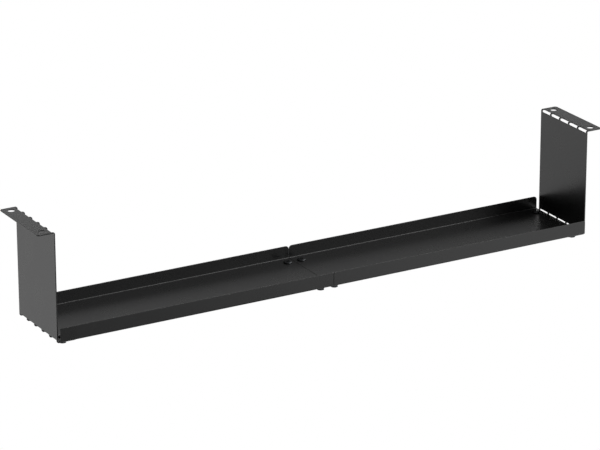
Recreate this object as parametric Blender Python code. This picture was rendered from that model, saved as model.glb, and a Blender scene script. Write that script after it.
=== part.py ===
"""Under-desk cable tray: two channel sections hung from two fold-by-hand sheet hangers.

Metres, +Z up. X runs along the tray, the front lip faces -Y and the origin is on the surface
that the screw ends stand on, below the middle of the seam.
"""

import math

import bmesh
import bpy
from mathutils import Matrix, Vector

# Sheet steel
SHEET = 0.0015
INNER_BEND = 0.001
OUTER_BEND = INNER_BEND + SHEET
MID_BEND = INNER_BEND + SHEET / 2
BEND_STEPS = 4
SEAT_GAP = 0.0003

# Tray sections
SECTION_LENGTH = 0.4268
SEAM_GAP = 0.0004
TRAY_WIDTH = 0.130
LIP_HEIGHT = 0.021
BACK_HEIGHT = 0.020
LIP_CORNER = 0.0025
BACK_CORNER = 0.005
END_HOLE_INSET = 0.011
SCREW_ROWS = (-0.047, 0.047)

# Hangers
HANGER_SPAN = 0.860
HANGER_WIDTH = 0.120
HANGER_HEIGHT = 0.160
FLANGE_DEPTH = 0.025
FOOT_DEPTH = 0.030
LEAF_CORNER = 0.004
DESK_HOLE = 0.010
DESK_HOLE_FROM_PLATE = 0.0125
DESK_HOLE_FROM_END = 0.012

# Perforated fold lines
FOLD_SLOTS = 5
SLOT_LENGTH = 0.021
SLOT_WIDTH = 0.006
SLOT_CORNER = 0.0012
WEB_ARC = math.radians(25)

# Splice plate under the seam
SPLICE_LENGTH = 0.060
SPLICE_WIDTH = 0.110
SPLICE_SHEET = 0.0025

# M6 fasteners
CLEARANCE_HOLE = 0.0066
SCREW_LENGTH = 0.010
SCREW_RADIUS = 0.0027
HEAD_RADIUS = 0.00625
HEAD_TOP_RADIUS = 0.0034
HEAD_HEIGHT = 0.0022
SOCKET_FLATS = 0.004
SOCKET_DEPTH = 0.002
NUT_FLATS = 0.010
NUT_HEIGHT = 0.005
NUT_BORE = 0.003
TURNED_SIDES = 18
HOLE_SIDES = 16

# Levels that follow from the stack of sheets
FLOOR_UNDER = SCREW_LENGTH - SHEET - SEAT_GAP
FLOOR_TOP = FLOOR_UNDER + SHEET
FOOT_MID = FLOOR_UNDER - SEAT_GAP - SHEET / 2
PLATE_MID_X = HANGER_SPAN / 2 - SHEET / 2
FLANGE_MID = FOOT_MID - SHEET + HANGER_HEIGHT
SEAM_SCREW_X = SEAM_GAP / 2 + END_HOLE_INSET
END_SCREW_X = SEAM_GAP / 2 + SECTION_LENGTH - END_HOLE_INSET

# A fold flattens to its true length when it turns about this offset from the sheets' mid lines
FOLD_AXIS_OFFSET = MID_BEND * (1 - math.pi / 4)
SLOT_FLAT = (SLOT_WIDTH - MID_BEND * math.pi / 2) / 2

POWDER_COAT = {"color": (0.018, 0.018, 0.019), "roughness": 0.38, "metallic": 0.0}
BLACK_ZINC = {"color": (0.030, 0.030, 0.032), "roughness": 0.32, "metallic": 0.8}


def clear_scene():
    """Remove every object that is already there."""
    for item in list(bpy.data.objects):
        bpy.data.objects.remove(item, do_unlink=True)


def make_material(name, finish):
    """Return a Principled material of one finish."""
    material = bpy.data.materials.new(name)
    material.use_nodes = True
    shader = material.node_tree.nodes["Principled BSDF"]
    shader.inputs["Base Color"].default_value = (*finish["color"], 1.0)
    shader.inputs["Roughness"].default_value = finish["roughness"]
    shader.inputs["Metallic"].default_value = finish["metallic"]
    return material


def add_object(name, mesh, finish, origin=(0, 0, 0), parent=None):
    """Link a mesh as a named object at a world origin, with its own material."""
    item = bpy.data.objects.new(name, mesh)
    bpy.context.collection.objects.link(item)
    item.location = Vector(origin)
    if parent is not None:
        item.parent = parent
        item.location = Vector(origin) - parent.location
    if not mesh.materials:
        mesh.materials.append(None)
    item.material_slots[0].link = "OBJECT"
    item.material_slots[0].material = make_material(name + "_finish", finish)
    return item


def drill(target, points, diameter):
    """Cut round vertical holes through a sheet at world points."""
    bm = bmesh.new()
    for point in points:
        bmesh.ops.create_cone(
            bm,
            cap_ends=True,
            segments=HOLE_SIDES,
            radius1=diameter / 2,
            radius2=diameter / 2,
            depth=4 * SHEET,
            matrix=Matrix.Translation(Vector(point)),
        )
    mesh = bpy.data.meshes.new(target.name + "_drill")
    bm.to_mesh(mesh)
    bm.free()
    cutter = bpy.data.objects.new(target.name + "_drill", mesh)
    bpy.context.collection.objects.link(cutter)
    cutter.hide_render = True
    cutter.display_type = "WIRE"
    cut = target.modifiers.new("holes", "BOOLEAN")
    cut.operation = "DIFFERENCE"
    cut.solver = "EXACT"
    cut.object = cutter


def arc(center, radius, start, end, steps):
    """Return points of an arc in a plane, from one angle to another in radians."""
    points = []
    for step in range(steps + 1):
        angle = start + (end - start) * step / steps
        points.append((center[0] + radius * math.cos(angle), center[1] + radius * math.sin(angle)))
    return points


def channel_profile():
    """Return the tray's cross-section as (y, z) points, counter-clockwise seen from +X."""
    half = TRAY_WIDTH / 2
    low = FLOOR_UNDER
    quarter = math.pi / 2
    front_center = (-half + OUTER_BEND, low + OUTER_BEND)
    back_center = (half - OUTER_BEND, low + OUTER_BEND)
    points = [(-half, low + LIP_HEIGHT)]
    points += arc(front_center, OUTER_BEND, 2 * quarter, 3 * quarter, BEND_STEPS)
    points += arc(back_center, OUTER_BEND, -quarter, 0, BEND_STEPS)
    points.append((half, low + BACK_HEIGHT))
    points.append((half - SHEET, low + BACK_HEIGHT))
    points += arc(back_center, INNER_BEND, 0, -quarter, BEND_STEPS)
    points += arc(front_center, INNER_BEND, 3 * quarter, 2 * quarter, BEND_STEPS)
    points.append((-half + SHEET, low + LIP_HEIGHT))
    return points


def is_wall_corner(edge, row):
    """Tell whether an edge is a top end corner of the lip (row -1) or of the back wall (row 1)."""
    first, second = (vertex.co for vertex in edge.verts)
    along_y = abs(first.x - second.x) < SEAT_GAP and abs(first.z - second.z) < SEAT_GAP
    across_sheet = abs(abs(first.y - second.y) - SHEET) < SEAT_GAP
    high = first.z > FLOOR_UNDER + BACK_HEIGHT / 2
    return along_y and across_sheet and high and first.y * row > 0


def build_tray_section(name, side):
    """Build one channel section, on the side of the seam that side (-1 or 1) gives."""
    near = SEAM_GAP / 2
    low_x = near if side > 0 else -near - SECTION_LENGTH
    bm = bmesh.new()
    verts = [bm.verts.new((low_x, y, z)) for y, z in channel_profile()]
    cap = bm.faces.new(verts)
    cap.normal_update()
    grown = bmesh.ops.extrude_face_region(bm, geom=[cap], use_keep_orig=True)
    moved = [item for item in grown["geom"] if isinstance(item, bmesh.types.BMVert)]
    bmesh.ops.translate(bm, verts=moved, vec=(SECTION_LENGTH, 0, 0))
    for row, radius in ((-1, LIP_CORNER), (1, BACK_CORNER)):
        corners = [edge for edge in bm.edges if is_wall_corner(edge, row)]
        bmesh.ops.bevel(bm, geom=corners, offset=radius, segments=5, profile=0.5, affect="EDGES")
    bmesh.ops.recalc_face_normals(bm, faces=bm.faces)
    mesh = bpy.data.meshes.new(name)
    bm.to_mesh(mesh)
    bm.free()
    section = add_object(name, mesh, POWDER_COAT)
    columns = (side * SEAM_SCREW_X, side * END_SCREW_X)
    points = [(x, y, FLOOR_UNDER + SHEET / 2) for x in columns for y in SCREW_ROWS]
    drill(section, points, CLEARANCE_HOLE)


def fold_edge(toward):
    """Return a leaf's fold edge as (u, v) points from -v to +v: webs reach u=0 past the slots.

    toward is 1 where the leaf lies on the +u side of the fold, and -1 where it lies on the
    other side.
    """
    half = HANGER_WIDTH / 2
    web = (HANGER_WIDTH - FOLD_SLOTS * SLOT_LENGTH) / (FOLD_SLOTS + 1)
    points = [(0.0, -half)]
    for slot in range(FOLD_SLOTS):
        low = -half + web + slot * (SLOT_LENGTH + web)
        high = low + SLOT_LENGTH
        inner = SLOT_FLAT - SLOT_CORNER
        points.append((0.0, low))
        points += [(toward * u, v) for u, v in
                   reversed(arc((inner, low + SLOT_CORNER), SLOT_CORNER, 0, -math.pi / 2, 2))]
        points += [(toward * u, v) for u, v in
                   arc((inner, high - SLOT_CORNER), SLOT_CORNER, 0, math.pi / 2, 2)]
        points.append((0.0, high))
    points.append((0.0, half))
    return points


def plain_edge(u):
    """Return a leaf's free edge at u with rounded corners, as points from +v to -v."""
    half = HANGER_WIDTH / 2 - LEAF_CORNER
    points = arc((u - LEAF_CORNER, half), LEAF_CORNER, math.pi / 2, 0, BEND_STEPS)
    points += arc((u - LEAF_CORNER, -half), LEAF_CORNER, 0, -math.pi / 2, BEND_STEPS)
    return points


def curl_webs(bm, u, curl, outward):
    """Grow the web ends at u round the fold, towards +w or -w as curl is 1 or -1."""
    ends = []
    for face in bm.faces:
        at_u = all(abs(vertex.co.x - u) < SEAT_GAP / 3 for vertex in face.verts)
        if at_u:
            ends.append(face)
    steps = 2
    turn = Matrix.Rotation(-outward * curl * WEB_ARC / steps, 3, "Y")
    for _ in range(steps):
        grown = bmesh.ops.extrude_discrete_faces(bm, faces=ends)
        ends = grown["faces"]
        verts = [vertex for face in ends for vertex in face.verts]
        bmesh.ops.rotate(bm, verts=verts, cent=(u, 0, curl * MID_BEND), matrix=turn)


def build_leaf(name, length, near_curl, far_curl, origin, axes, pivot, parent=None):
    """Build one flat leaf of a hanger with web stubs at its folds.

    The leaf lies along u from the fold's tangent line to length, across v, and w is its
    thickness; axes gives u and w in world directions, origin the world place of u=0 and
    pivot the world place of the object's own origin. A curl is the side of the leaf that
    the fold turns to, and a far_curl of 0 leaves a plain far edge.
    """
    bm = bmesh.new()
    outline = list(reversed(fold_edge(1)))
    if far_curl:
        outline += [(u + length, v) for u, v in fold_edge(-1)]
    else:
        outline += list(reversed(plain_edge(length)))
    verts = [bm.verts.new((u, v, -SHEET / 2)) for u, v in outline]
    cap = bm.faces.new(verts)
    grown = bmesh.ops.extrude_face_region(bm, geom=[cap], use_keep_orig=True)
    moved = [item for item in grown["geom"] if isinstance(item, bmesh.types.BMVert)]
    bmesh.ops.translate(bm, verts=moved, vec=(0, 0, SHEET))
    bmesh.ops.recalc_face_normals(bm, faces=bm.faces)
    curl_webs(bm, 0.0, near_curl, -1)
    if far_curl:
        curl_webs(bm, length, far_curl, 1)
    u_axis, w_axis = Vector(axes[0]), Vector(axes[1])
    v_axis = w_axis.cross(u_axis)
    frame = Matrix((u_axis, v_axis, w_axis)).transposed().to_4x4()
    frame.translation = Vector(origin) - Vector(pivot)
    bmesh.ops.transform(bm, matrix=frame, verts=bm.verts)
    bmesh.ops.recalc_face_normals(bm, faces=bm.faces)
    mesh = bpy.data.meshes.new(name)
    bm.to_mesh(mesh)
    bm.free()
    return add_object(name, mesh, POWDER_COAT, pivot, parent)


def build_hanger(word, side):
    """Build the foot, plate and top flange of the hanger on one side (-1 or 1)."""
    x_mid = side * PLATE_MID_X
    low_axis = (side * (PLATE_MID_X - FOLD_AXIS_OFFSET), 0, FOOT_MID + FOLD_AXIS_OFFSET)
    high_axis = (side * (PLATE_MID_X + FOLD_AXIS_OFFSET), 0, FLANGE_MID - FOLD_AXIS_OFFSET)
    foot_start = (x_mid - side * MID_BEND, 0, FOOT_MID)
    plate_start = (x_mid, 0, FOOT_MID + MID_BEND)
    flange_start = (x_mid + side * MID_BEND, 0, FLANGE_MID)
    up = (0, 0, 1)
    inward = (-side, 0, 0)
    outward = (side, 0, 0)
    foot_length = FOOT_DEPTH - OUTER_BEND
    plate_length = FLANGE_MID - FOOT_MID - 2 * MID_BEND
    flange_length = FLANGE_DEPTH + SHEET / 2 - MID_BEND
    foot = build_leaf(f"hanger_{word}_foot", foot_length, 1, 0, foot_start, (inward, up),
                      (side * END_SCREW_X, 0, FOOT_MID))
    plate = build_leaf(f"hanger_{word}_plate", plate_length, 1, -1, plate_start, (up, inward),
                       low_axis)
    flange = build_leaf(f"hanger_{word}_top_flange", flange_length, -1, 0, flange_start,
                        (outward, up), high_axis, plate)
    drill(foot, [(side * END_SCREW_X, y, FOOT_MID) for y in SCREW_ROWS], CLEARANCE_HOLE)
    hole_x = side * (HANGER_SPAN / 2 + DESK_HOLE_FROM_PLATE)
    hole_y = HANGER_WIDTH / 2 - DESK_HOLE_FROM_END
    drill(flange, [(hole_x, y, FLANGE_MID) for y in (-hole_y, hole_y)], DESK_HOLE)


def build_splice_plate():
    """Build the flat plate that joins the two sections under the seam."""
    bm = bmesh.new()
    bmesh.ops.create_cube(bm, size=1.0)
    bmesh.ops.scale(bm, vec=(SPLICE_LENGTH, SPLICE_WIDTH, SPLICE_SHEET), verts=bm.verts)
    upright = [edge for edge in bm.edges
               if abs(edge.verts[0].co.z - edge.verts[1].co.z) > SPLICE_SHEET / 2]
    bmesh.ops.bevel(bm, geom=upright, offset=LEAF_CORNER, segments=BEND_STEPS, profile=0.5,
                    affect="EDGES")
    mesh = bpy.data.meshes.new("splice_plate")
    bm.to_mesh(mesh)
    bm.free()
    middle = FLOOR_UNDER - SEAT_GAP - SPLICE_SHEET / 2
    plate = add_object("splice_plate", mesh, POWDER_COAT, (0, 0, middle))
    columns = (-SEAM_SCREW_X, SEAM_SCREW_X)
    drill(plate, [(x, y, middle) for x in columns for y in SCREW_ROWS], CLEARANCE_HOLE)


def round_radius(radius):
    """Return a radius rule for a circle."""
    return lambda angle: radius


def hex_radius(flats, limit=math.inf):
    """Return a radius rule for a hexagon across flats, trimmed by a circle of radius limit."""
    def rule(angle):
        sixth = math.pi / 3
        from_flat = (angle % sixth) - sixth / 2
        return min(flats / 2 / math.cos(from_flat), limit)
    return rule


def loft(rules, closed):
    """Return a bmesh lofted through rings of (radius rule, z), capped or closed on itself."""
    bm = bmesh.new()
    rings = []
    for rule, z in rules:
        ring = []
        for step in range(TURNED_SIDES):
            angle = 2 * math.pi * step / TURNED_SIDES
            radius = rule(angle)
            ring.append(bm.verts.new((radius * math.cos(angle), radius * math.sin(angle), z)))
        rings.append(ring)
    pairs = list(zip(rings, rings[1:]))
    if closed:
        pairs.append((rings[-1], rings[0]))
    else:
        bm.faces.new(list(reversed(rings[0])))
        bm.faces.new(rings[-1])
    for lower, upper in pairs:
        for step in range(TURNED_SIDES):
            after = (step + 1) % TURNED_SIDES
            bm.faces.new((lower[step], lower[after], upper[after], upper[step]))
    bmesh.ops.recalc_face_normals(bm, faces=bm.faces)
    return bm


def finish_turned(bm, name):
    """Turn a lofted bmesh into a smooth-shaded mesh with crisp edges."""
    mesh = bpy.data.meshes.new(name)
    bm.to_mesh(mesh)
    bm.free()
    mesh.shade_smooth()
    mesh.set_sharp_from_angle(angle=math.radians(35))
    return mesh


def screw_mesh():
    """Return an M6 low-head screw, its head's seat at z=0 and its shank below."""
    point = 0.0005
    rim = 0.0004
    rings = [
        (round_radius(SCREW_RADIUS - point), -SCREW_LENGTH),
        (round_radius(SCREW_RADIUS), -SCREW_LENGTH + point),
        (round_radius(SCREW_RADIUS), 0.0),
        (round_radius(HEAD_RADIUS), 0.0),
        (round_radius(HEAD_RADIUS), rim),
    ]
    dome = 4
    for step in range(1, dome + 1):
        angle = math.pi / 2 * step / dome
        radius = HEAD_TOP_RADIUS + (HEAD_RADIUS - HEAD_TOP_RADIUS) * math.cos(angle)
        height = rim + (HEAD_HEIGHT - rim) * math.sin(angle)
        rings.append((round_radius(radius), height))
    rings.append((hex_radius(SOCKET_FLATS), HEAD_HEIGHT))
    rings.append((hex_radius(SOCKET_FLATS), HEAD_HEIGHT - SOCKET_DEPTH))
    return finish_turned(loft(rings, closed=False), "m6_screw")


def nut_mesh():
    """Return an M6 hexagon nut with chamfered corners, its top face at z=0."""
    trim = NUT_FLATS / 2 * 0.98
    chamfer = 0.0005
    rings = [
        (hex_radius(NUT_FLATS, trim), -NUT_HEIGHT),
        (hex_radius(NUT_FLATS), -NUT_HEIGHT + chamfer),
        (hex_radius(NUT_FLATS), -chamfer),
        (hex_radius(NUT_FLATS, trim), 0.0),
        (round_radius(NUT_BORE), 0.0),
        (round_radius(NUT_BORE), -NUT_HEIGHT),
    ]
    return finish_turned(loft(rings, closed=True), "m6_nut")


def build_fasteners():
    """Place a screw and a nut in each of the eight holes of the tray's floor."""
    screw, nut = screw_mesh(), nut_mesh()
    foot_under = FLOOR_UNDER - SEAT_GAP - SHEET
    splice_under = FLOOR_UNDER - SEAT_GAP - SPLICE_SHEET
    for side, word in ((-1, "left"), (1, "right")):
        for place, x, under in (("end", END_SCREW_X, foot_under),
                                ("seam", SEAM_SCREW_X, splice_under)):
            for y, row in zip(SCREW_ROWS, ("front", "back")):
                tail = f"{place}_{word}_{row}"
                add_object(f"screw_{tail}", screw, BLACK_ZINC,
                           (side * x, y, FLOOR_TOP + SEAT_GAP))
                add_object(f"nut_{tail}", nut, BLACK_ZINC, (side * x, y, under - SEAT_GAP))


def main():
    """Build the whole tray."""
    clear_scene()
    for side, word in ((-1, "left"), (1, "right")):
        build_tray_section(f"tray_section_{word}", side)
        build_hanger(word, side)
    build_splice_plate()
    build_fasteners()


main()
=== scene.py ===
"""Under-desk cable tray: two folded channel sections hung from two fold-by-hand sheet hangers.

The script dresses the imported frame. The sheet parts are folded, punched and softened along
their edges, the fasteners get their sockets, chamfers and threads, and every part is finished
in black powder coat or black zinc. Metres, +Z up, the front lip faces -Y.
"""

import logging
import math
from contextlib import contextmanager
from dataclasses import dataclass, field
from enum import Enum
from typing import Callable, Iterator

import bmesh
import bpy
from mathutils import Euler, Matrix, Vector


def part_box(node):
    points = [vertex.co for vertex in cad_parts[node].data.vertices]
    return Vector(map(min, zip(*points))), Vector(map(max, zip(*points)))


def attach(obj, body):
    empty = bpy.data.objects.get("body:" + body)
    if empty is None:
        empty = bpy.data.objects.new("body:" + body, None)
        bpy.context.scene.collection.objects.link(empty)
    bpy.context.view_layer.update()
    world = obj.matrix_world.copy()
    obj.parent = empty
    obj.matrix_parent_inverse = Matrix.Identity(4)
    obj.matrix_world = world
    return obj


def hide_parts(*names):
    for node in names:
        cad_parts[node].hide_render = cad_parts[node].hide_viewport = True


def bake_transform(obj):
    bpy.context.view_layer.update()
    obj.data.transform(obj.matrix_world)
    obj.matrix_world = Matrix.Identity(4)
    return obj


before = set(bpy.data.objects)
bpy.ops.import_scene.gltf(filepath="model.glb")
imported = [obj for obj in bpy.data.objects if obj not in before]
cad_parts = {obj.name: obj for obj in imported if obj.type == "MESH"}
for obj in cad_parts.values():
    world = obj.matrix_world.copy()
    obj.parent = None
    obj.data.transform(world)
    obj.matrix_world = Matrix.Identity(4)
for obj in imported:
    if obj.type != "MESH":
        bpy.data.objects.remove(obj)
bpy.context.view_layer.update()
LOG = logging.getLogger("cable_tray")
# Places closer than this count as one, and faces of a larger area than this are flat sheet.
HAIR = 0.00002
BROAD = 0.00002
# Sharper edges than these are rounded, and stay crisp in shading.
ROUNDED_ANGLE = math.radians(35)
CRISP_ANGLE = math.radians(50)
AREA_WEIGHT = 80
HEXAGON = 6
CORNERS_ON_X = math.pi / 6


class Side(Enum):
    """The two ends of the tray, seen from the front."""

    LEFT = -1
    RIGHT = 1

    @property
    def word(self) -> str:
        """Return the side's name as node names spell it."""
        return self.name.lower()


class Place(Enum):
    """The two columns of fasteners in each tray section."""

    END = "end"
    SEAM = "seam"


class Row(Enum):
    """The two rows of fasteners across the tray."""

    FRONT = "front"
    BACK = "back"


class Slot(Enum):
    """The two material slots' names."""

    POWDER_COAT = "powder_coat"
    BLACK_ZINC = "black_zinc"


# ---------------- workshop


def activate(piece: bpy.types.Object) -> None:
    """Make one object the only selected and active one.

    Args:
        piece: The object to work on.
    """
    bpy.ops.object.select_all(action="DESELECT")
    piece.select_set(True)
    bpy.context.view_layer.objects.active = piece


@contextmanager
def editing(piece: bpy.types.Object) -> Iterator[None]:
    """Hold an object in edit mode for as long as the block lasts.

    Args:
        piece: The mesh object to edit.
    """
    activate(piece)
    bpy.ops.object.mode_set(mode="EDIT")
    try:
        yield
    finally:
        bpy.ops.object.mode_set(mode="OBJECT")


def pick(kind: str, test: Callable[[list[Vector]], bool]) -> None:
    """Select the elements of the edited mesh whose corners all pass a test.

    Args:
        kind: "VERT", "EDGE" or "FACE".
        test: Takes the element's corner positions and says whether to select it.
    """
    bpy.ops.mesh.select_mode(type=kind)
    bpy.ops.mesh.select_all(action="DESELECT")
    mesh = bmesh.from_edit_mesh(bpy.context.object.data)
    elements = {"VERT": mesh.verts, "EDGE": mesh.edges, "FACE": mesh.faces}[kind]
    for element in elements:
        corners = [element.co] if kind == "VERT" else [vertex.co for vertex in element.verts]
        element.select_set(test(corners))
    mesh.select_flush_mode()
    bmesh.update_edit_mesh(bpy.context.object.data)


def on(axis: int, value: float) -> Callable[[list[Vector]], bool]:
    """Return a test for elements that lie on a plane across one axis.

    Args:
        axis: 0, 1 or 2 for X, Y or Z.
        value: The plane's place on that axis.

    Returns:
        The test, for pick.
    """
    return lambda corners: all(abs(corner[axis] - value) < HAIR for corner in corners)


def extrude(offset: tuple[float, float, float]) -> None:
    """Extrude the selection and move it.

    Args:
        offset: How far the new part moves along X, Y and Z.
    """
    bpy.ops.mesh.extrude_region_move(TRANSFORM_OT_translate={"value": offset})


def round_off(radius: float, steps: int, affect: str = "EDGES") -> None:
    """Round the selected edges or corners of the edited mesh.

    Args:
        radius: The rounding's radius.
        steps: The number of steps in it.
        affect: "EDGES" or "VERTICES".
    """
    bpy.ops.mesh.bevel(offset=radius, segments=steps, profile=0.5, affect=affect)


def face_outward() -> None:
    """Point all faces of the edited mesh outward."""
    bpy.ops.mesh.select_all(action="SELECT")
    bpy.ops.mesh.normals_make_consistent(inside=False)


def middle_of(node: str) -> Vector:
    """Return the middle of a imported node's box."""
    low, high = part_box(node)
    return (low + high) / 2


def add_plane(centre: Vector, size: tuple[float, float]) -> bpy.types.Object:
    """Add a level rectangle.

    Args:
        centre: Its middle.
        size: Its extents along X and Y.

    Returns:
        The new object, with its place in its mesh.
    """
    bpy.ops.object.select_all(action="DESELECT")
    bpy.ops.mesh.primitive_plane_add(size=1.0, location=centre)
    bpy.context.active_object.scale = (size[0], size[1], 1.0)
    return settle(bpy.context.active_object)


def add_block(low: Vector, high: Vector) -> bpy.types.Object:
    """Add a box between two corners.

    Args:
        low: Its lowest corner.
        high: Its highest corner.

    Returns:
        The new object, with its place in its mesh.
    """
    bpy.ops.object.select_all(action="DESELECT")
    bpy.ops.mesh.primitive_cube_add(size=1.0, location=(low + high) / 2)
    bpy.context.active_object.scale = high - low
    return settle(bpy.context.active_object)


def add_cylinder(centre: Vector, radius: float, height: float, sides: int,
                 turn: float = 0.0) -> bpy.types.Object:
    """Add an upright cylinder.

    Args:
        centre: Its middle.
        radius: Its radius, to the corners.
        height: Its height.
        sides: Its number of sides.
        turn: The angle it is turned by about its own middle.

    Returns:
        The new object, with its place in its mesh.
    """
    bpy.ops.object.select_all(action="DESELECT")
    bpy.ops.mesh.primitive_cylinder_add(vertices=sides, radius=radius, depth=height,
                                        location=centre, rotation=(0.0, 0.0, turn))
    return settle(bpy.context.active_object)


def settle(piece: bpy.types.Object) -> bpy.types.Object:
    """Move an object's place, turn and scale into its mesh.

    Args:
        piece: The object.

    Returns:
        The same object.
    """
    activate(piece)
    bpy.ops.object.transform_apply(location=True, rotation=True, scale=True)
    return piece


def apply(piece: bpy.types.Object, kind: str, **settings: object) -> None:
    """Add a modifier to an object and apply it.

    Args:
        piece: The object.
        kind: The modifier's type.
        **settings: The modifier's properties.
    """
    modifier = piece.modifiers.new(kind.lower(), kind)
    for name, value in settings.items():
        setattr(modifier, name, value)
    activate(piece)
    bpy.ops.object.modifier_apply(modifier=modifier.name)


def join(pieces: list[bpy.types.Object]) -> bpy.types.Object:
    """Join objects into the first one.

    Args:
        pieces: The objects.

    Returns:
        The joined object.
    """
    activate(pieces[0])
    for piece in pieces[1:]:
        piece.select_set(True)
    if len(pieces) > 1:
        bpy.ops.object.join()
    return pieces[0]


def cut(piece: bpy.types.Object, cutters: list[bpy.types.Object],
        how: str = "DIFFERENCE") -> None:
    """Cut a piece with cutters that don't touch each other, and throw the cutters away.

    Args:
        piece: The piece to cut.
        cutters: The closed objects to cut it with.
        how: The Boolean operation.
    """
    cutter = join(cutters)
    apply(piece, "BOOLEAN", operation=how, solver="EXACT", object=cutter)
    bpy.data.objects.remove(cutter, do_unlink=True)


def punch(piece: bpy.types.Object, points: list[Vector], diameter: float) -> None:
    """Punch round holes straight down through a sheet.

    Args:
        piece: The sheet.
        points: The holes' middles.
        diameter: The holes' diameter.
    """
    cut(piece, [add_cylinder(point, diameter / 2, Sheet.punch_depth, Sheet.hole_sides)
                for point in points])


def soften(piece: bpy.types.Object, width: float, segments: int = 2) -> None:
    """Round off a piece's sharp edges and shade it, with its flat faces kept flat.

    Args:
        piece: The finished shape.
        width: The width of the rounding.
        segments: The number of steps in it.
    """
    apply(piece, "BEVEL", width=width, segments=segments, limit_method="ANGLE",
          angle_limit=ROUNDED_ANGLE, miter_outer="MITER_ARC", use_clamp_overlap=True)
    shade(piece)


def shade(piece: bpy.types.Object) -> None:
    """Shade a piece smooth up to its crisp edges, with its broad faces perfectly flat.

    Args:
        piece: The piece.
    """
    activate(piece)
    bpy.ops.object.shade_smooth_by_angle(angle=CRISP_ANGLE)
    apply(piece, "WEIGHTED_NORMAL", mode="FACE_AREA", weight=AREA_WEIGHT, keep_sharp=True)
    mesh = piece.data
    normals = [corner.vector.copy() for corner in mesh.corner_normals]
    for face in mesh.polygons:
        if face.area > BROAD:
            for corner in face.loop_indices:
                normals[corner] = face.normal.copy()
    mesh.normals_split_custom_set(normals)


def copy_piece(piece: bpy.types.Object, name: str, offset: Vector) -> bpy.types.Object:
    """Copy a piece with a mesh of its own.

    Args:
        piece: The piece to copy.
        name: The copy's name.
        offset: How far the copy's mesh is moved.

    Returns:
        The copy.
    """
    activate(piece)
    bpy.ops.object.duplicate()
    double = bpy.context.active_object
    double.name = name
    double.data.name = name
    double.location = offset
    return settle(double)


# ---------------- finishes


class Wiring:
    """Places nodes in a tree and links them, for finishes and node groups."""

    def __init__(self, tree: bpy.types.NodeTree) -> None:
        """Start on a tree.

        Args:
            tree: The node tree to build in.
        """
        self.tree = tree

    def node(self, kind: str, values: dict[str, object] | None = None,
             **settings: object) -> bpy.types.Node:
        """Add a node.

        Args:
            kind: The node's type name after "ShaderNode".
            values: Input sockets by name, each a constant or an output to link from.
            **settings: The node's own properties.

        Returns:
            The new node.
        """
        node = self.tree.nodes.new("ShaderNode" + kind)
        for name, value in settings.items():
            setattr(node, name, value)
        for name, value in (values or {}).items():
            self.feed(node.inputs[name], value)
        return node

    def feed(self, socket: bpy.types.NodeSocket, value: object) -> None:
        """Link an output to an input socket, or set the socket's constant.

        Args:
            socket: The input socket.
            value: An output socket, or the constant.
        """
        if isinstance(value, bpy.types.NodeSocket):
            self.tree.links.new(value, socket)
        else:
            socket.default_value = value

    def math(self, operation: str, first: object, second: object) -> bpy.types.NodeSocket:
        """Add a Math node and return its value.

        Args:
            operation: The node's operation.
            first: The first input, a constant or an output.
            second: The second input, a constant or an output.

        Returns:
            The node's output.
        """
        node = self.node("Math", operation=operation)
        self.feed(node.inputs[0], first)
        self.feed(node.inputs[1], second)
        return node.outputs[0]

    def spread(self, mask: bpy.types.NodeSocket, low: object,
               high: object) -> bpy.types.NodeSocket:
        """Map a mask from 0..1 onto a range of values.

        Args:
            mask: The mask.
            low: The value where the mask is 0.
            high: The value where the mask is 1.

        Returns:
            The mapped value.
        """
        node = self.node("MapRange", {"Value": mask, "To Min": low, "To Max": high})
        return node.outputs["Result"]

    def ramp(self, value: bpy.types.NodeSocket, low: float, high: float,
             shape: str = "LINEAR") -> bpy.types.NodeSocket:
        """Ramp a value from 0 at one place to 1 at another.

        Args:
            value: The value.
            low: Where the ramp starts.
            high: Where the ramp ends.
            shape: The ramp's interpolation.

        Returns:
            The ramp.
        """
        node = self.node("MapRange", {"Value": value, "From Min": low, "From Max": high},
                         interpolation_type=shape)
        return node.outputs["Result"]

    def blend(self, mask: bpy.types.NodeSocket, first: object,
              second: object) -> bpy.types.NodeSocket:
        """Mix two colours by a mask.

        Args:
            mask: The share of the second colour.
            first: The first colour.
            second: The second colour.

        Returns:
            The mixed colour.
        """
        node = self.node("Mix", data_type="RGBA")
        self.feed(node.inputs[0], mask)
        self.feed(node.inputs[6], first)
        self.feed(node.inputs[7], second)
        return node.outputs[2]


def new_group(name: str, inputs: list[str],
              outputs: list[str]) -> tuple[Wiring, bpy.types.Node, bpy.types.Node]:
    """Start a shader node group with named sockets; "Normal" is a vector, the rest are floats.

    Args:
        name: The group's name.
        inputs: The input sockets' names.
        outputs: The output sockets' names.

    Returns:
        The group's wiring, its input node and its output node.
    """
    tree = bpy.data.node_groups.new(name, "ShaderNodeTree")
    for in_out, labels in (("INPUT", inputs), ("OUTPUT", outputs)):
        for label in labels:
            kind = "NodeSocketVector" if label == "Normal" else "NodeSocketFloat"
            tree.interface.new_socket(label, in_out=in_out, socket_type=kind)
    return Wiring(tree), tree.nodes.new("NodeGroupInput"), tree.nodes.new("NodeGroupOutput")


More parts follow.
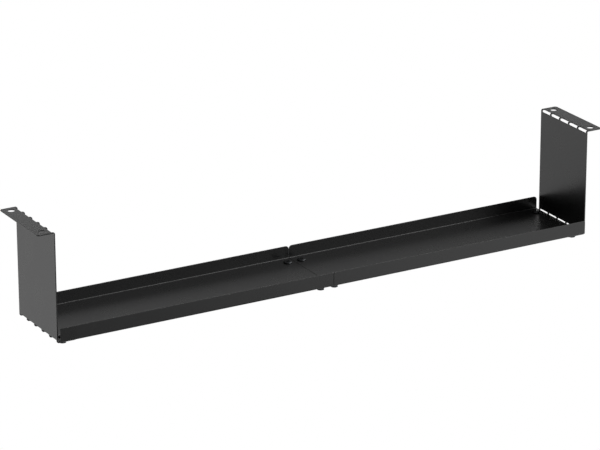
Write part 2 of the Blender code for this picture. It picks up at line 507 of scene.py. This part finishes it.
def orange_peel_group() -> bpy.types.NodeTree:
    """Build the cured surface of a sprayed coat: slow waves, fine grain and small pits.

    Returns:
        The node group: grain and wave sizes and depths in, a cloud mask and a normal out.
    """
    wiring, given, out = new_group(
        "orange_peel", ["Wave Scale", "Wave Depth", "Grain Scale", "Grain Depth", "Cloud Scale"],
        ["Cloud", "Normal"])
    place = wiring.node("TexCoord").outputs["Object"]
    waves = wiring.node("TexNoise", {"Vector": place, "Scale": given.outputs["Wave Scale"],
                                     "Detail": 2.0, "Roughness": 0.45})
    grain = wiring.node("TexVoronoi", {"Vector": place, "Scale": given.outputs["Grain Scale"]},
                        feature="SMOOTH_F1")
    cloud = wiring.node("TexNoise", {"Vector": place, "Scale": given.outputs["Cloud Scale"],
                                     "Detail": 5.0, "Roughness": 0.62})
    broad = wiring.node("Bump", {"Height": waves.outputs[0],
                                 "Distance": given.outputs["Wave Depth"]})
    fine = wiring.node("Bump", {"Height": grain.outputs[0], "Normal": broad.outputs[0],
                                "Distance": given.outputs["Grain Depth"]})
    wiring.feed(out.inputs["Cloud"], cloud.outputs[0])
    wiring.feed(out.inputs["Normal"], fine.outputs[0])
    return wiring.tree


def edge_wear_group() -> bpy.types.NodeTree:
    """Build the mask of the thin, rubbed coat along a piece's edges, from the piece's own edge
    mask; on the powder coat it also lays a painted highlight along the rims.

    Returns:
        The node group: patch scale and cover in, a mask of wear and painted edge highlight out.
    """
    wiring, given, out = new_group("edge_wear", ["Patch Scale", "Cover"], ["Wear"])
    edge = wiring.node("Attribute", attribute_name="edge").outputs["Fac"]
    place = wiring.node("TexCoord").outputs["Object"]
    patches = wiring.node("TexNoise", {"Vector": place, "Scale": given.outputs["Patch Scale"],
                                       "Detail": 6.0, "Roughness": 0.7})
    ragged = wiring.math("ADD", patches.outputs[0], given.outputs["Cover"])
    crisp = wiring.ramp(ragged, 0.85, 1.15)
    wiring.feed(out.inputs["Wear"], wiring.math("MULTIPLY", edge, crisp))
    return wiring.tree


def dust_group() -> bpy.types.NodeTree:
    """Build the light dust that settles on faces that look up.

    Returns:
        The node group: speck scale and amount in, a dust mask out.
    """
    wiring, given, out = new_group("dust", ["Speck Scale", "Amount"], ["Dust"])
    facing = wiring.node("SeparateXYZ", {"Vector": wiring.node("NewGeometry").outputs["Normal"]})
    level = wiring.ramp(facing.outputs["Z"], 0.6, 1.0)
    place = wiring.node("TexCoord").outputs["Object"]
    specks = wiring.node("TexNoise", {"Vector": place, "Scale": given.outputs["Speck Scale"],
                                      "Detail": 8.0, "Roughness": 0.75})
    lying = wiring.math("MULTIPLY", wiring.ramp(specks.outputs[0], 0.45, 0.8), level)
    wiring.feed(out.inputs["Dust"], wiring.math("MULTIPLY", lying, given.outputs["Amount"]))
    return wiring.tree


def machining_group() -> bpy.types.NodeTree:
    """Build the fine turned and forged marks of plated fasteners.

    Returns:
        The node group: mark scale and depth in, a patina mask and a normal out.
    """
    wiring, given, out = new_group("machining", ["Mark Scale", "Mark Depth"],
                                   ["Patina", "Normal"])
    place = wiring.node("TexCoord").outputs["Object"]
    flattened = wiring.node("Mapping", {"Vector": place, "Scale": (1.0, 1.0, 6.0)})
    marks = wiring.node("TexNoise", {"Vector": flattened.outputs[0],
                                     "Scale": given.outputs["Mark Scale"], "Detail": 4.0})
    patina = wiring.node("TexNoise", {"Vector": place, "Scale": 350.0, "Detail": 4.0})
    bump = wiring.node("Bump", {"Height": marks.outputs[0],
                                "Distance": given.outputs["Mark Depth"]})
    wiring.feed(out.inputs["Patina"], patina.outputs[0])
    wiring.feed(out.inputs["Normal"], bump.outputs[0])
    return wiring.tree


GROUPS: dict[str, Callable[[], bpy.types.NodeTree]] = {
    "orange_peel": orange_peel_group,
    "edge_wear": edge_wear_group,
    "dust": dust_group,
    "machining": machining_group,
}


def place_group(wiring: Wiring, name: str, values: dict[str, object]) -> bpy.types.Node:
    """Place a shared node group in a material, and build it the first time.

    Args:
        wiring: The material's wiring.
        name: The group's name.
        values: The group's inputs by name.

    Returns:
        The group node.
    """
    node = wiring.node("Group")
    node.node_tree = bpy.data.node_groups.get(name) or GROUPS[name]()
    for label, value in values.items():
        wiring.feed(node.inputs[label], value)
    return node


def shade_of(value: float, tint: float = 0.0) -> tuple[float, float, float, float]:
    """Return a grey as a colour, cooler for a positive tint.

    Args:
        value: The grey's linear value.
        tint: The share by which blue exceeds red.

    Returns:
        The colour with full alpha.
    """
    return (value * (1 - tint / 2), value, value * (1 + tint / 2), 1.0)


@dataclass(frozen=True)
class Finish:
    """What all finishes share: one material each, made the first time it is asked for."""

    name: str = "plain"

    def wire(self, wiring: Wiring, shader: bpy.types.Node) -> None:
        """Wire the finish's shader; a plain one stays as it is.

        Args:
            wiring: The material's wiring.
            shader: The material's Principled shader.
        """

    def material(self) -> bpy.types.Material:
        """Return the finish's material.

        Returns:
            The material.
        """
        known = bpy.data.materials.get(self.name)
        if known:
            return known
        material = bpy.data.materials.new(self.name)
        material.use_nodes = True
        self.wire(Wiring(material.node_tree), material.node_tree.nodes["Principled BSDF"])
        return material


@dataclass(frozen=True)
class PowderCoat(Finish):
    """Satin black powder coat on sheet steel."""

    name: str = "satin_black_powder_coat"
    black: float = 0.012
    deep_share: float = 0.85
    light_share: float = 1.15
    # Lighter grey of the rubbed edges, partly a painted highlight along the rims.
    worn: float = 0.045
    dusty: float = 0.10
    tint: float = 0.03
    gloss_low: float = 0.24
    gloss_high: float = 0.32
    coat_ior: float = 1.5
    wave_scale: float = 900.0
    wave_depth: float = 0.000010
    grain_scale: float = 4200.0
    grain_depth: float = 0.000004
    cloud_scale: float = 26.0
    patch_scale: float = 180.0
    wear_cover: float = 0.35
    speck_scale: float = 700.0
    dust_amount: float = 0.05

    def wire(self, wiring: Wiring, shader: bpy.types.Node) -> None:
        """Wire the coat: clouded black, rubbed edges lightened partly as a painted highlight, a
        little dust and orange peel.

        Args:
            wiring: The material's wiring.
            shader: The material's Principled shader.
        """
        peel = place_group(wiring, "orange_peel", {
            "Wave Scale": self.wave_scale, "Wave Depth": self.wave_depth,
            "Grain Scale": self.grain_scale, "Grain Depth": self.grain_depth,
            "Cloud Scale": self.cloud_scale})
        wear_and_highlight = place_group(wiring, "edge_wear", {"Patch Scale": self.patch_scale,
                                                 "Cover": self.wear_cover})
        dust = place_group(wiring, "dust", {"Speck Scale": self.speck_scale,
                                            "Amount": self.dust_amount})
        deep = shade_of(self.black * self.deep_share, self.tint)
        light = shade_of(self.black * self.light_share, self.tint)
        coat = wiring.blend(peel.outputs["Cloud"], deep, light)
        # Lighter edges: partly rubbed coat, partly a painted highlight along the rims.
        rubbed_and_highlit = wiring.blend(wear_and_highlight.outputs["Wear"], coat, shade_of(self.worn))
        dusted = wiring.blend(dust.outputs["Dust"], rubbed_and_highlit, shade_of(self.dusty))
        rough = wiring.spread(peel.outputs["Cloud"], self.gloss_low, self.gloss_high)
        wiring.feed(shader.inputs["Base Color"], dusted)
        wiring.feed(shader.inputs["Roughness"], rough)
        wiring.feed(shader.inputs["Normal"], peel.outputs["Normal"])
        shader.inputs["IOR"].default_value = self.coat_ior


@dataclass(frozen=True)
class BlackZinc(Finish):
    """Black passivated zinc on steel fasteners."""

    name: str = "black_zinc_plate"
    black: float = 0.030
    patina: float = 0.065
    tint: float = 0.10
    bare: float = 0.22
    gloss_low: float = 0.16
    gloss_high: float = 0.30
    metallic: float = 0.85
    mark_scale: float = 2600.0
    mark_depth: float = 0.000006
    patch_scale: float = 600.0
    wear_cover: float = 0.30

    def wire(self, wiring: Wiring, shader: bpy.types.Node) -> None:
        """Wire the plating: patinated black with turned marks and bare worn edges.

        Args:
            wiring: The material's wiring.
            shader: The material's Principled shader.
        """
        marks = place_group(wiring, "machining", {"Mark Scale": self.mark_scale,
                                                  "Mark Depth": self.mark_depth})
        wear_and_highlight = place_group(wiring, "edge_wear", {"Patch Scale": self.patch_scale,
                                                 "Cover": self.wear_cover})
        plate = wiring.blend(marks.outputs["Patina"], shade_of(self.black, self.tint),
                             shade_of(self.patina, self.tint))
        colour = wiring.blend(wear_and_highlight.outputs["Wear"], plate, shade_of(self.bare))
        rough = wiring.spread(marks.outputs["Patina"], self.gloss_low, self.gloss_high)
        wiring.feed(shader.inputs["Base Color"], colour)
        wiring.feed(shader.inputs["Roughness"], rough)
        wiring.feed(shader.inputs["Normal"], marks.outputs["Normal"])
        shader.inputs["Metallic"].default_value = self.metallic


@dataclass(frozen=True)
class LitFloor(Finish):
    """Pale floor sheet lit from within, brighter on some sides than on others."""

    name: str = "studio_floor"
    depth: tuple[float, float] = (-0.8, 0.8)
    back_span: tuple[float, float] = (-2.0, 2.0)
    back_left: float = 0.95
    back_right: float = 0.30
    front_span: tuple[float, float] = (0.1, 1.3)
    front_left: float = 0.20
    front_right: float = 1.12

    def wire(self, wiring: Wiring, shader: bpy.types.Node) -> None:
        """Wire the floor: white to the camera, its uneven glow in reflections, clear from below.

        Args:
            wiring: The material's wiring.
            shader: The material's Principled shader.
        """
        place = wiring.node("TexCoord").outputs["Object"]
        axes = wiring.node("SeparateXYZ", {"Vector": place})
        front_glow, back_glow = (
            wiring.spread(wiring.ramp(axes.outputs["X"], *span, "SMOOTHSTEP"), left, right)
            for span, left, right in ((self.front_span, self.front_left, self.front_right),
                                      (self.back_span, self.back_left, self.back_right)))
        glow = wiring.spread(wiring.ramp(axes.outputs["Y"], *self.depth, "SMOOTHSTEP"),
                             front_glow, back_glow)
        seen = wiring.node("LightPath").outputs["Is Camera Ray"]
        wiring.feed(shader.inputs["Emission Strength"], wiring.spread(seen, glow, 1.0))
        shader.inputs["Emission Color"].default_value = shade_of(1.0)
        shader.inputs["Base Color"].default_value = shade_of(0.0)
        shader.inputs["Roughness"].default_value = 1.0
        shader.inputs["Specular IOR Level"].default_value = 0.0
        below = wiring.node("NewGeometry").outputs["Backfacing"]
        wiring.feed(shader.inputs["Alpha"], wiring.math("SUBTRACT", 1.0, below))


def mark_edges(piece: bpy.types.Object, reach: float) -> None:
    """Give a piece its edge mask: 1 on the narrow faces of softened edges, 0 elsewhere.

    Args:
        piece: The finished mesh.
        reach: The widest face that still counts as a softened edge.
    """
    mask = piece.data.attributes.new("edge", "FLOAT", "FACE")
    mesh = bmesh.new()
    mesh.from_mesh(piece.data)
    for face, value in zip(mesh.faces, mask.data):
        across = face.calc_area() / max(edge.calc_length() for edge in face.edges)
        value.value = 1.0 if across < reach else 0.0
    mesh.free()


def dress(piece: bpy.types.Object, finish: Finish, reach: float) -> None:
    """Put a finish on a piece.

    Args:
        piece: The finished mesh.
        finish: The finish.
        reach: The widest face that counts as a softened edge.
    """
    mark_edges(piece, reach)
    piece.data.materials.clear()
    piece.data.materials.append(finish.material())


# ---------------- sheet parts


@dataclass
class Sheet:
    """What all sheet parts share: the gauge, the bends and the softened edges."""

    thickness: float = 0.0015
    middle_bend: float = 0.00175
    bend_steps: int = 10
    corner_steps: int = 8
    edge: float = 0.00040
    hole_sides: int = 48
    punch_depth: float = 0.009
    clearance: float = 0.0066
    finish: PowderCoat = field(default_factory=PowderCoat)

    def thicken(self, piece: bpy.types.Object) -> None:
        """Give a folded middle surface the sheet's thickness.

        Args:
            piece: The middle surface.
        """
        with editing(piece):
            face_outward()
        apply(piece, "SOLIDIFY", thickness=self.thickness, offset=0.0, use_even_offset=True)

    def fold(self, test: Callable[[list[Vector]], bool]) -> None:
        """Round a fold of the edited middle surface to the sheet's bend.

        Args:
            test: Picks the fold's edges.
        """
        pick("EDGE", test)
        round_off(self.middle_bend, self.bend_steps)

    def round_corners(self, radius: float, test: Callable[[list[Vector]], bool]) -> None:
        """Round outline corners of the edited middle surface.

        Args:
            radius: The corners' radius.
            test: Picks the corner vertices.
        """
        pick("VERT", test)
        round_off(radius, self.corner_steps, "VERTICES")

    def finish_piece(self, piece: bpy.types.Object) -> None:
        """Dress a softened sheet part in its coat.

        Args:
            piece: The finished mesh.
        """
        dress(piece, self.finish, 1.2 * self.edge)


@dataclass
class TraySection(Sheet):
    """One channel section: a floor, a front lip and a lower back wall."""

    side: Side = Side.LEFT
    back_drop: float = 0.001
    lip_corner: float = 0.0025
    back_corner: float = 0.005

    def holes(self, floor: float) -> list[Vector]:
        """Return the middles of the section's four screw holes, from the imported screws.

        Args:
            floor: The level of the floor's middle surface.

        Returns:
            The middles.
        """
        spots = [middle_of(f"screw_{place.value}_{self.side.word}_{row.value}")
                 for place in Place for row in Row]
        return [Vector((spot.x, spot.y, floor)) for spot in spots]

    def build(self) -> None:
        """Fold, thicken, punch, soften and dress the section."""
        node = f"tray_section_{self.side.word}"
        low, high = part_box(node)
        half = self.thickness / 2
        floor = low.z + half
        front = low.y + half
        back = high.y - half
        middle = Vector(((low.x + high.x) / 2, (front + back) / 2, floor))
        piece = add_plane(middle, (high.x - low.x, back - front))
        piece.name = f"channel_{self.side.word}"
        with editing(piece):
            pick("EDGE", on(1, front))
            extrude((0, 0, high.z - floor))
            pick("EDGE", on(1, back))
            extrude((0, 0, high.z - self.back_drop - floor))
            self.fold(lambda ends: on(2, floor)(ends)
                      and (on(1, front)(ends) or on(1, back)(ends)))
            for wall, radius in ((front, self.lip_corner), (back, self.back_corner)):
                self.round_corners(radius, lambda spot, wall=wall: on(1, wall)(spot)
                                   and spot[0].z > high.z - 2 * self.back_drop)
        self.thicken(piece)
        punch(piece, self.holes(floor), self.clearance)
        soften(piece, self.edge)
        self.finish_piece(piece)
        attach(piece, "root")
        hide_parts(node)
        LOG.info("%s: folded channel, %.0f mm long", piece.name, 1000 * (high.x - low.x))


@dataclass
class Hanger(Sheet):
    """One hanger: a foot, an upright plate and a top flange, joined by perforated folds."""

    side: Side = Side.LEFT
    slots: int = 5
    slot_length: float = 0.021
    slot_width: float = 0.006
    slot_corner: float = 0.0012
    leaf_corner: float = 0.004
    desk_hole: float = 0.010
    hole_from_edge: float = 0.012
    hole_from_plate: float = 0.0125

    def __post_init__(self) -> None:
        """Read the hanger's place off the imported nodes."""
        word = self.side.word
        self.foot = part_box(f"hanger_{word}_foot")
        self.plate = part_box(f"hanger_{word}_plate")
        self.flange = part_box(f"hanger_{word}_top_flange")
        outward = self.side.value
        half = self.thickness / 2
        outer = max(abs(corner.x) for corner in self.plate)
        self.plate_x = outward * (outer - half)
        self.foot_z = self.foot[0].z + half
        self.flange_z = self.flange[1].z - half
        self.foot_end = outward * min(abs(corner.x) for corner in self.foot)
        self.flange_end = outward * max(abs(corner.x) for corner in self.flange)
        self.front = self.plate[0].y
        self.back = self.plate[1].y

    @property
    def slot_flat(self) -> float:
        """Return how far a slot reaches past the bend into each flat leaf."""
        return (self.slot_width - self.middle_bend * math.pi / 2) / 2

    def slot_middles(self) -> list[float]:
        """Return the slots' middles across the hanger."""
        web = (self.back - self.front - self.slots * self.slot_length) / (self.slots + 1)
        pitch = self.slot_length + web
        first = self.front + web + self.slot_length / 2
        return [first + index * pitch for index in range(self.slots)]

    def rounded_cutter(self, low: Vector, high: Vector, axis: int,
                       end: float) -> bpy.types.Object:
        """Make a slot cutter with two rounded corners.

        Args:
            low: One corner of the cutter.
            high: The opposite corner.
            axis: The axis across the rounded end, 0 or 2.
            end: The rounded end's place on that axis.

        Returns:
            The cutter.
        """
        cutter = add_block(Vector(map(min, low, high)), Vector(map(max, low, high)))
        across = 2 - axis
        with editing(cutter):
            pick("EDGE", lambda ends: on(axis, end)(ends)
                 and abs(ends[0][across] - ends[1][across]) > HAIR)
            round_off(self.slot_corner, self.corner_steps)
        return cutter

    def punch_fold(self, piece: bpy.types.Object, level: float, toward: int, up: int) -> None:
        """Punch the row of slots that runs round one fold.

        Args:
            piece: The hanger.
            level: The middle level of the leaf that joins the plate there.
            toward: 1 where that leaf runs to +X from the plate, -1 where it runs to -X.
            up: 1 where the plate rises from the fold, -1 where it hangs from it.
        """
        past = 3 * self.thickness
        bend_x = self.plate_x + toward * self.middle_bend
        bend_z = level + up * self.middle_bend
        leaf_end = bend_x + toward * self.slot_flat
        plate_end = bend_z + up * self.slot_flat
        outside_x = self.plate_x - toward * past
        outside_z = level - up * past
        half = self.slot_length / 2
        middles = self.slot_middles()
        cut(piece, [self.rounded_cutter(Vector((bend_x, y - half, outside_z)),
                                        Vector((outside_x, y + half, plate_end)), 2, plate_end)
                    for y in middles])
        cut(piece, [self.rounded_cutter(Vector((leaf_end, y - half, outside_z)),
                                        Vector((outside_x, y + half, bend_z)), 0, leaf_end)
                    for y in middles])

    def folded_sheet(self) -> bpy.types.Object:
        """Fold, thicken, punch and soften the whole hanger as one sheet.

        Returns:
            The hanger in one piece.
        """
        outward = self.side.value
        width = self.back - self.front
        centre = Vector(((self.plate_x + self.foot_end) / 2, 0, self.foot_z))
        piece = add_plane(centre, (abs(self.plate_x - self.foot_end), width))
        with editing(piece):
            pick("EDGE", on(0, self.plate_x))
            extrude((0, 0, self.flange_z - self.foot_z))
            extrude((self.flange_end - self.plate_x, 0, 0))
            self.round_corners(self.leaf_corner, lambda spot: on(0, self.foot_end)(spot)
                               or on(0, self.flange_end)(spot))
            self.fold(lambda ends: on(0, self.plate_x)(ends)
                      and (on(2, self.foot_z)(ends) or on(2, self.flange_z)(ends)))
        self.thicken(piece)
        self.punch_fold(piece, self.foot_z, -outward, 1)
        self.punch_fold(piece, self.flange_z, outward, -1)
        seats = [middle_of(f"screw_end_{self.side.word}_{row.value}") for row in Row]
        punch(piece, [Vector((seat.x, seat.y, self.foot_z)) for seat in seats], self.clearance)
        outer = self.plate_x + outward * self.thickness / 2
        hole_x = outer + outward * self.hole_from_plate
        reach = width / 2 - self.hole_from_edge
        punch(piece, [Vector((hole_x, y, self.flange_z)) for y in (-reach, reach)],
              self.desk_hole)
        soften(piece, self.edge)
        return piece

    def split(self, sheet: bpy.types.Object, name: str, keep_above: bool) -> bpy.types.Object:
        """Keep the part of the folded sheet above or below the top fold's webs.

        Args:
            sheet: The whole hanger.
            name: The new piece's name.
            keep_above: Whether the part above is kept.

        Returns:
            The part.
        """
        part = copy_piece(sheet, name, Vector((0, 0, 0)))
        level = self.flange_z - self.middle_bend
        with editing(part):
            bpy.ops.mesh.select_all(action="SELECT")
            bpy.ops.mesh.bisect(plane_co=(0, 0, level), plane_no=(0, 0, 1), use_fill=True,
                                clear_inner=keep_above, clear_outer=not keep_above,
                                threshold=HAIR / 10)
        shade(part)
        return part

    def build(self) -> None:
        """Build the hanger as its upright part and its flange, each holding one of its folds."""
        word = self.side.word
        sheet = self.folded_sheet()
        upright = self.split(sheet, f"hanger_{word}_upright", False)
        flange = self.split(sheet, f"hanger_{word}_flange", True)
        bpy.data.objects.remove(sheet, do_unlink=True)
        for piece in (upright, flange):
            self.finish_piece(piece)
        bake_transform(upright)
        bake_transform(flange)
        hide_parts(f"hanger_{word}_foot", f"hanger_{word}_plate")
        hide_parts(f"hanger_{word}_top_flange")
        LOG.info("%s: plate, foot and webs in one sheet", upright.name)
        LOG.info("%s: drilled flange with its webs", flange.name)


@dataclass
class SplicePlate(Sheet):
    """The flat plate that joins the two sections under their seam."""

    corner: float = 0.004

    def build(self) -> None:
        """Cut, punch, soften and dress the plate."""
        low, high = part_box("splice_plate")
        piece = add_block(low, high)
        piece.name = "splice_plate_coated"
        with editing(piece):
            pick("EDGE", lambda ends: abs(ends[0].z - ends[1].z) > HAIR)
            round_off(self.corner, self.corner_steps)
        level = (low.z + high.z) / 2
        spots = [middle_of(f"screw_seam_{side.word}_{row.value}") for side in Side for row in Row]
        punch(piece, [Vector((spot.x, spot.y, level)) for spot in spots], self.clearance)
        soften(piece, self.edge)
        self.finish_piece(piece)
        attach(piece, "root")
        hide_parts("splice_plate")
        LOG.info("%s: flat splice under the seam", piece.name)


# ---------------- fasteners


@dataclass
class Fasteners:
    """The M6 low-head screws and hexagon nuts that hold the tray together."""

    pitch: float = 0.001
    major: float = 0.00293
    thread_depth: float = 0.00050
    rings_per_turn: int = 8
    sides: int = 40
    head: float = 0.00625
    head_height: float = 0.0022
    head_rim: float = 0.0005
    crown: float = 0.0026
    dome_steps: int = 7
    socket_flats: float = 0.004
    socket_depth: float = 0.0019
    tip: float = 0.0006
    nut_flats: float = 0.010
    nut_chamfer: float = 0.00045
    nut_face_share: float = 0.97
    bore: float = 0.003
    countersink: float = 0.00045
    edge: float = 0.00010
    finish: BlackZinc = field(default_factory=BlackZinc)

    def ring_up(self, rise: float, share: float) -> None:
        """Extrude the selected ring upward and scale it about its own middle.

        Args:
            rise: How far it moves up.
            share: Its new radius over its old one.
        """
        extrude((0, 0, rise))
        bpy.ops.transform.resize(value=(share, share, 1.0))

    def threaded_shank(self, length: float) -> bpy.types.Object:
        """Roll a threaded shank that hangs from z=0.

        Args:
            length: The shank's length.

        Returns:
            The shank, closed at both ends.
        """
        rings = round(length / self.pitch * self.rings_per_turn)
        bpy.ops.object.select_all(action="DESELECT")
        bpy.ops.mesh.primitive_circle_add(vertices=self.sides, radius=self.major,
                                          fill_type="NGON", location=(0, 0, -length))
        shank = settle(bpy.context.active_object)
        with editing(shank):
            bpy.ops.mesh.select_all(action="SELECT")
            for _ in range(rings):
                extrude((0, 0, length / rings))
            face_outward()
        for vertex in shank.data.vertices:
            spot = vertex.co
            turn = math.atan2(spot.y, spot.x) / (2 * math.pi)
            wave = abs(((spot.z / self.pitch - turn) % 1.0) * 2 - 1)
            run_out = min(1.0, -spot.z / self.pitch)
            depth = self.thread_depth * wave * run_out
            taper = max(0.0, self.tip - (spot.z + length))
            radius = min(self.major - depth, self.major - taper)
            spot.xy = spot.xy.normalized() * radius
        return shank

    def low_head(self) -> bpy.types.Object:
        """Turn a low domed head that stands on z=0 and sink its hexagon socket.

        Returns:
            The head.
        """
        bpy.ops.object.select_all(action="DESELECT")
        bpy.ops.mesh.primitive_circle_add(vertices=self.sides, radius=self.head,
                                          fill_type="NGON", location=(0, 0, 0))
        head = settle(bpy.context.active_object)
        with editing(head):
            bpy.ops.mesh.select_all(action="SELECT")
            self.ring_up(self.head_rim, 1.0)
            radius, level = self.head, self.head_rim
            for step in range(1, self.dome_steps + 1):
                angle = math.pi / 2 * step / self.dome_steps
                wide = self.crown + (self.head - self.crown) * math.cos(angle)
                high = self.head_rim + (self.head_height - self.head_rim) * math.sin(angle)
                self.ring_up(high - level, wide / radius)
                radius, level = wide, high
            face_outward()
        corner = self.socket_flats / math.sqrt(3)
        cut(head, [add_cylinder(Vector((0, 0, self.head_height)), corner,
                                2 * self.socket_depth, HEXAGON, CORNERS_ON_X)])
        return head

    def screw(self, name: str, length: float) -> bpy.types.Object:
        """Make one screw with its head's seat at z=0.

        Args:
            name: The screw's name.
            length: The shank's length.

        Returns:
            The screw.
        """
        head = self.low_head()
        shank = self.threaded_shank(length)
        overlap = 4 * HAIR
        shank.location.z = overlap
        settle(shank)
        cut(head, [shank], "UNION")
        head.name = name
        soften(head, self.edge, 1)
        return head

    def flared_cylinder(self, height: float, radius: float, inset: float, rise: float,
                        share: float) -> bpy.types.Object:
        """Turn a cylinder below z=0 whose two ends widen or narrow.

        Args:
            height: The height between its two levels.
            radius: Its radius between the ends.
            inset: How far inside the two levels the ends start.
            rise: How long each end is.
            share: Each end's radius over the cylinder's.

        Returns:
            The cylinder.
        """
        cylinder = add_cylinder(Vector((0, 0, -height / 2)), radius, height - 2 * inset,
                                self.sides)
        with editing(cylinder):
            for level, way in ((-inset, 1), (inset - height, -1)):
                pick("FACE", on(2, level))
                self.ring_up(way * rise, share)
        return cylinder

    def nut(self, name: str, height: float) -> bpy.types.Object:
        """Make one nut with its top face at z=0.

        Args:
            name: The nut's name.
            height: The nut's height.

        Returns:
            The nut.
        """
        corner = self.nut_flats / math.sqrt(3)
        body = add_cylinder(Vector((0, 0, -height / 2)), corner, height, HEXAGON, CORNERS_ON_X)
        trim = self.nut_flats / 2 * self.nut_face_share
        turned = self.flared_cylinder(height, corner + HAIR, self.nut_chamfer,
                                      self.nut_chamfer + HAIR, trim / (corner + HAIR))
        cut(body, [turned], "INTERSECT")
        flare = 2 * self.countersink
        cut(body, [self.flared_cylinder(height, self.bore, self.countersink, flare,
                                        (self.bore + flare) / self.bore)])
        body.name = name
        soften(body, self.edge, 2)
        return body

    def build(self) -> None:
        """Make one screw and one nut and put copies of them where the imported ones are."""
        low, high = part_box("screw_seam_left_front")
        nut_low, nut_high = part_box("nut_seam_left_front")
        seat = high.z - self.head_height
        screw = self.screw("screw_pattern", seat - low.z)
        nut = self.nut("nut_pattern", nut_high.z - nut_low.z)
        for side in Side:
            for place in Place:
                for row in Row:
                    tail = f"{place.value}_{side.word}_{row.value}"
                    tops = (("screw", screw, seat), ("nut", nut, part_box(f"nut_{tail}")[1].z))
                    for kind, pattern, level in tops:
                        spot = middle_of(f"{kind}_{tail}")
                        piece = copy_piece(pattern, f"m6_{kind}_{tail}",
                                           Vector((spot.x, spot.y, level)))
                        dress(piece, self.finish, 2 * self.edge)
                        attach(piece, "root")
                        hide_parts(f"{kind}_{tail}")
                    LOG.info("%s: screw and nut set", tail)
        for pattern in (screw, nut):
            bpy.data.objects.remove(pattern, do_unlink=True)


# ---------------- studio


@dataclass(frozen=True)
class Glow:
    """A broad soft light in one direction, or a low band along the horizon."""

    azimuth: float
    elevation: float
    focus: float
    strength: float
    band: float = 0.0

    def direction(self) -> tuple[float, float, float]:
        """Return the unit direction towards the light, its azimuth from +Y towards +X."""
        azimuth, elevation = math.radians(self.azimuth), math.radians(self.elevation)
        return (math.sin(azimuth) * math.cos(elevation),
                math.cos(azimuth) * math.cos(elevation), math.sin(elevation))


@dataclass
class Studio:
    """A pale floor far below the hanging tray, soft light and the camera."""

    glows: tuple[Glow, ...] = (
        Glow(azimuth=0, elevation=12, focus=10, strength=0.84),
        Glow(azimuth=45, elevation=12, focus=10, strength=0.09),
        Glow(azimuth=90, elevation=12, focus=10, strength=2.8),
        Glow(azimuth=120, elevation=40, focus=10, strength=2.6),
        Glow(azimuth=135, elevation=12, focus=10, strength=1.9),
        Glow(azimuth=140, elevation=45, focus=150, strength=6.0),
        Glow(azimuth=20, elevation=0, focus=3, strength=3.0, band=0.15),
        Glow(azimuth=195, elevation=30, focus=4, strength=0.20),
        Glow(azimuth=0, elevation=90, focus=3, strength=0.20),
    )

    floor_level: float = -0.60
    floor_size: float = 60.0
    eye: tuple[float, float, float] = (-2.2438, -3.9112, 1.7204)
    heading: float = math.radians(29.647)
    dip: float = math.radians(19.991)
    roll: float = math.radians(-0.120)
    lens: float = 202.85
    sensor: float = 36.0

    def camera(self) -> None:
        """Place the camera."""
        data = bpy.data.cameras.new("camera")
        data.lens = self.lens
        data.sensor_width = self.sensor
        camera = bpy.data.objects.new("camera", data)
        camera.location = self.eye
        turn = Euler((math.pi / 2 - self.dip, 0.0, -self.heading)).to_matrix()
        camera.rotation_euler = (turn @ Euler((0.0, 0.0, self.roll)).to_matrix()).to_euler()
        bpy.context.scene.collection.objects.link(camera)
        bpy.context.scene.camera = camera

    def floor(self) -> None:
        """Lay the floor."""
        floor = add_plane(Vector((0, 0, self.floor_level)), (self.floor_size, self.floor_size))
        floor.name = "floor"
        floor.data.materials.append(LitFloor().material())

    def surroundings(self) -> None:
        """Light the room with broad soft glows, and show it white behind the floor."""
        world = bpy.data.worlds.new("studio")
        world.use_nodes = True
        wiring = Wiring(world.node_tree)
        toward = wiring.node("TexCoord").outputs["Generated"]
        height = wiring.node("SeparateXYZ", {"Vector": toward}).outputs["Z"]
        total = 0.0
        for glow in self.glows:
            facing = wiring.node("VectorMath", operation="DOT_PRODUCT")
            wiring.feed(facing.inputs[0], toward)
            wiring.feed(facing.inputs[1], glow.direction())
            near = wiring.math("POWER", wiring.math("MAXIMUM", facing.outputs["Value"], 0.0),
                               glow.focus)
            if glow.band:
                drop = wiring.math("DIVIDE", height, glow.band)
                fade = wiring.math("MULTIPLY", wiring.math("MULTIPLY", drop, drop), -1.0)
                near = wiring.math("MULTIPLY", near, wiring.math("EXPONENT", fade, 0.0))
            total = wiring.math("ADD", wiring.math("MULTIPLY", near, glow.strength), total)
        seen = wiring.node("LightPath").outputs["Is Camera Ray"]
        background = world.node_tree.nodes["Background"]
        background.inputs["Color"].default_value = shade_of(1.0)
        wiring.feed(background.inputs["Strength"], wiring.spread(seen, total, 1.0))
        bpy.context.scene.world = world
        bpy.context.scene.view_settings.view_transform = "Standard"

    def build(self) -> None:
        """Set up the whole studio."""
        self.camera()
        self.floor()
        self.surroundings()
        LOG.info("studio: floor, light and camera")


# ---------------- assembly


def main() -> None:
    """Build the tray on its frame, piece by piece, and set up the studio."""
    logging.basicConfig(level=logging.INFO, format="%(name)s %(message)s")
    Studio().build()
    for side in Side:
        TraySection(side=side).build()
        Hanger(side=side).build()
    SplicePlate().build()
    Fasteners().build()


if __name__ == "__main__":
    main()
